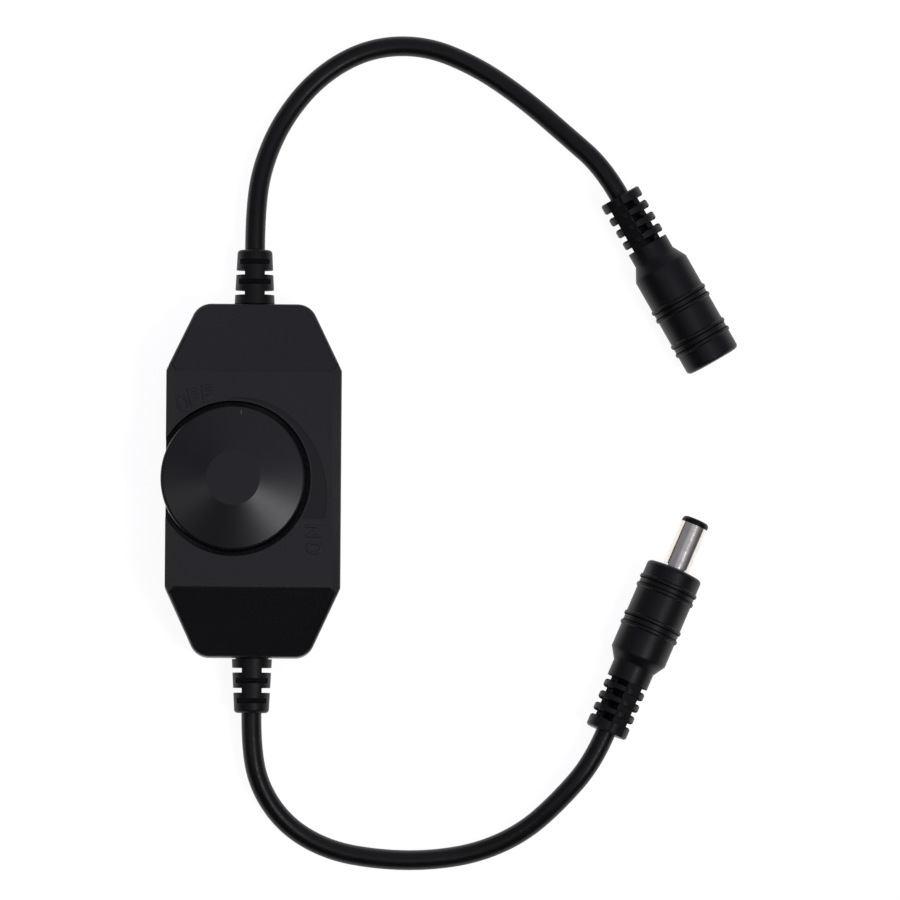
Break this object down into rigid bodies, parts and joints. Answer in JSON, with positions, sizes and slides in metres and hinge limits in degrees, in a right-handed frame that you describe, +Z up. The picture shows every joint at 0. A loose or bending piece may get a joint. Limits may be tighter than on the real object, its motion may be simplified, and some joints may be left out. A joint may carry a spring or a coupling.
{
  "type": "led strip dimmer",
  "caption": "In-line rotary dimmer for LED strip: a low box with a thumb knob, between two short leads that end in a DC socket and a DC plug.",
  "frame": {"origin": "centre of the housing's flat underside", "axes": "+Y towards the end where the socket's cord enters, +Z up through the panel, +X towards the connectors"},
  "size_m": [0.1147, 0.1668, 0.0231],
  "materials": {
    "housing_plastic": "fine-textured near-black ABS",
    "knob_plastic": "satin near-black ABS",
    "gland_plastic": "smooth dark flexible plastic",
    "connector_plastic": "moulded soft PVC, satin",
    "cord_jacket": "black PVC jacket, slightly glossy",
    "insulator_plastic": "hard black insulator",
    "bright_nickel": "bright nickel plate",
    "spring_bronze": "drawn spring bronze",
    "steel": "plated steel",
    "tinned_metal": "tinned, soft sheen",
    "phenolic": "brown phenolic laminate",
    "board_laminate": "green solder mask on glass laminate",
    "black_epoxy": "moulded epoxy",
    "capacitor_aluminium": "drawn aluminium can",
    "ceramic": "tan ceramic",
    "red_insulation": "red PVC insulation",
    "black_insulation": "black PVC insulation"
  },
  "bodies": {
    "housing": {"top_housing": "housing_plastic", "bottom_housing": "housing_plastic", "potentiometer_body": "steel", "potentiometer_track": "phenolic", "potentiometer_terminals": "tinned_metal", "circuit_board": "board_laminate", "mosfet": "black_epoxy", "control_chip": "black_epoxy", "voltage_regulator": "black_epoxy", "diode": "black_epoxy", "electrolytic_capacitor": "capacitor_aluminium", "ceramic_capacitors": "ceramic", "resistors": "black_epoxy", "solder_joints": "tinned_metal", "input_gland": "gland_plastic", "output_gland": "gland_plastic", "input_positive_wire": "red_insulation", "input_negative_wire": "black_insulation", "output_positive_wire": "red_insulation", "output_negative_wire": "black_insulation", "input_cord": "cord_jacket", "output_cord": "cord_jacket", "plug_body": "connector_plastic", "plug_barrel": "bright_nickel", "plug_insulator": "insulator_plastic", "plug_inner_contact": "spring_bronze", "socket_body": "connector_plastic", "socket_core": "insulator_plastic", "socket_contact": "spring_bronze", "socket_centre_pin": "bright_nickel"},
    "dial": {"knob": "knob_plastic", "potentiometer_shaft": "steel", "potentiometer_wiper": "spring_bronze"}
  },
  "joints": [
    {"name": "knob_turn", "type": "hinge", "parent": "housing", "child": "dial", "pos_m": [-0.00405, 0, 0], "axis": [0, 0, 1], "range_deg": [-255, 45]}
  ]
}
